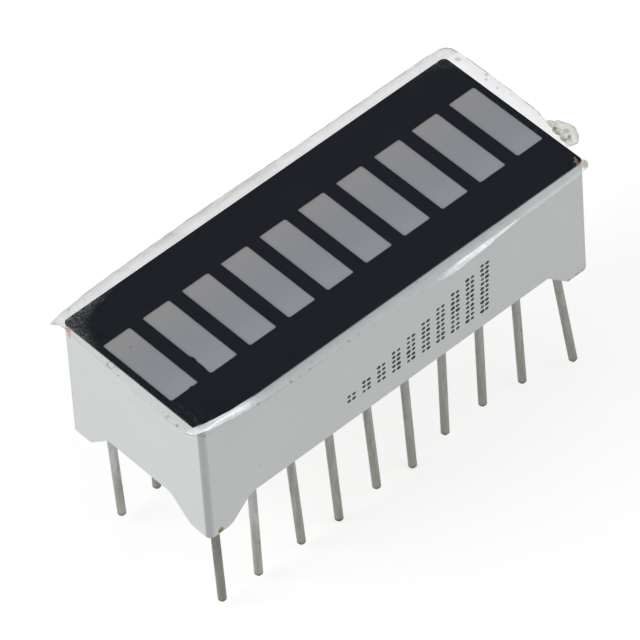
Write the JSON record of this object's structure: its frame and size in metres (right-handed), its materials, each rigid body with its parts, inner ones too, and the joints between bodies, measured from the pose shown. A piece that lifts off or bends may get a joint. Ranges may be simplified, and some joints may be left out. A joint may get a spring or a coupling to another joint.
{
  "type": "led bar graph display",
  "caption": "Flat oblong light bar in a dual-in-line body: a row of rectangular diffused segments in a black face over a white shell, round pins along both sides and a clear protective film.",
  "frame": {"origin": "middle of the twenty-pin grid, on the plane that the four corner feet stand on", "axes": "+X along the row of bars from pin 1's end to pin 10's end, +Y across from the near pin row to the far pin row, +Z out of the face, the way the bars shine"},
  "size_m": [0.0272, 0.0116, 0.0153],
  "materials": {
    "white_shell": "fine moulded satin, off-white",
    "black_print": "even black satin print",
    "diffusing_resin": "cloudy grey resin, smooth",
    "clear_film": "clear glossy film, milky where it lifts",
    "board_laminate": "woven glass laminate, satin",
    "back_resin": "poured resin, glossy with a slight sink",
    "die": "polished crystal",
    "gold_wire": "drawn, bright",
    "tinned_wire": "dull tinned, grey with an olive cast"
  },
  "bodies": {
    "root": {"housing": "white_shell", "face_mask": "black_print", "cover_film": "clear_film", "circuit_board": "board_laminate", "back_fill": "back_resin", "bar_fill_01": "diffusing_resin", "bar_fill_02": "diffusing_resin", "bar_fill_03": "diffusing_resin", "bar_fill_04": "diffusing_resin", "bar_fill_05": "diffusing_resin", "bar_fill_06": "diffusing_resin", "bar_fill_07": "diffusing_resin", "bar_fill_08": "diffusing_resin", "bar_fill_09": "diffusing_resin", "bar_fill_10": "diffusing_resin", "led_die_01": "die", "led_die_02": "die", "led_die_03": "die", "led_die_04": "die", "led_die_05": "die", "led_die_06": "die", "led_die_07": "die", "led_die_08": "die", "led_die_09": "die", "led_die_10": "die", "bond_wire_01": "gold_wire", "bond_wire_02": "gold_wire", "bond_wire_03": "gold_wire", "bond_wire_04": "gold_wire", "bond_wire_05": "gold_wire", "bond_wire_06": "gold_wire", "bond_wire_07": "gold_wire", "bond_wire_08": "gold_wire", "bond_wire_09": "gold_wire", "bond_wire_10": "gold_wire", "pin_01": "tinned_wire", "pin_02": "tinned_wire", "pin_03": "tinned_wire", "pin_04": "tinned_wire", "pin_05": "tinned_wire", "pin_06": "tinned_wire", "pin_07": "tinned_wire", "pin_08": "tinned_wire", "pin_09": "tinned_wire", "pin_10": "tinned_wire", "pin_11": "tinned_wire", "pin_12": "tinned_wire", "pin_13": "tinned_wire", "pin_14": "tinned_wire", "pin_15": "tinned_wire", "pin_16": "tinned_wire", "pin_17": "tinned_wire", "pin_18": "tinned_wire", "pin_19": "tinned_wire", "pin_20": "tinned_wire"}
  },
  "joints": []
}
